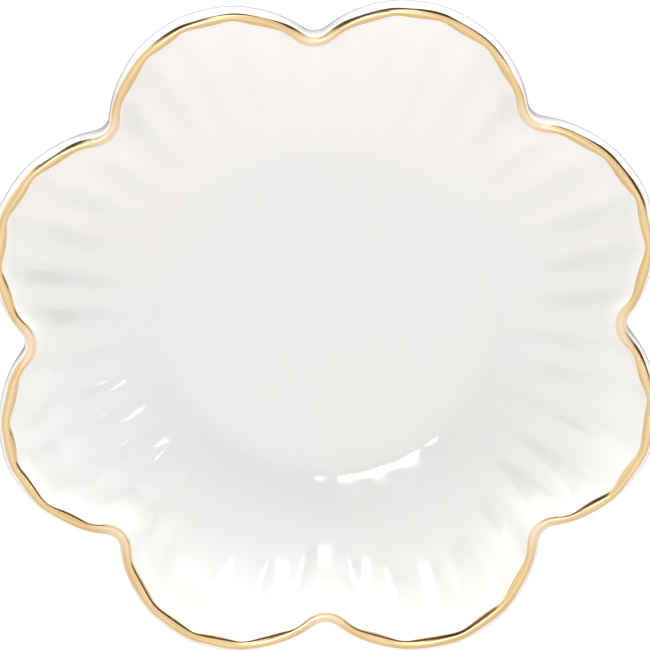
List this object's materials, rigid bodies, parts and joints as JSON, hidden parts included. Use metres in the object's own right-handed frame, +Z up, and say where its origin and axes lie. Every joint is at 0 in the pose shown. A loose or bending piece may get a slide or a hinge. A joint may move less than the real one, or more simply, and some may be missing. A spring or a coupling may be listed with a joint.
{
  "type": "relish tray",
  "caption": "Flower-shaped white porcelain relish dish with round petals, a fluted wall, a flat round well, a gilt lip and a foot ring, for serving condiments, sweets or small snacks.",
  "frame": {"origin": "on the table, under the middle of the dish", "axes": "+Z up out of the dish, +X and +Y through notches between petals"},
  "size_m": [0.1509, 0.1508, 0.0251],
  "materials": {
    "glazed_porcelain": "glossy clear glaze over white porcelain",
    "biscuit_porcelain": "unglazed, fine matt grain",
    "fired_gold": "bright fired gold, brushed on by hand"
  },
  "bodies": {
    "root": {"porcelain_body": "glazed_porcelain", "foot_ring": "biscuit_porcelain", "gilt_band": "fired_gold"}
  },
  "joints": []
}
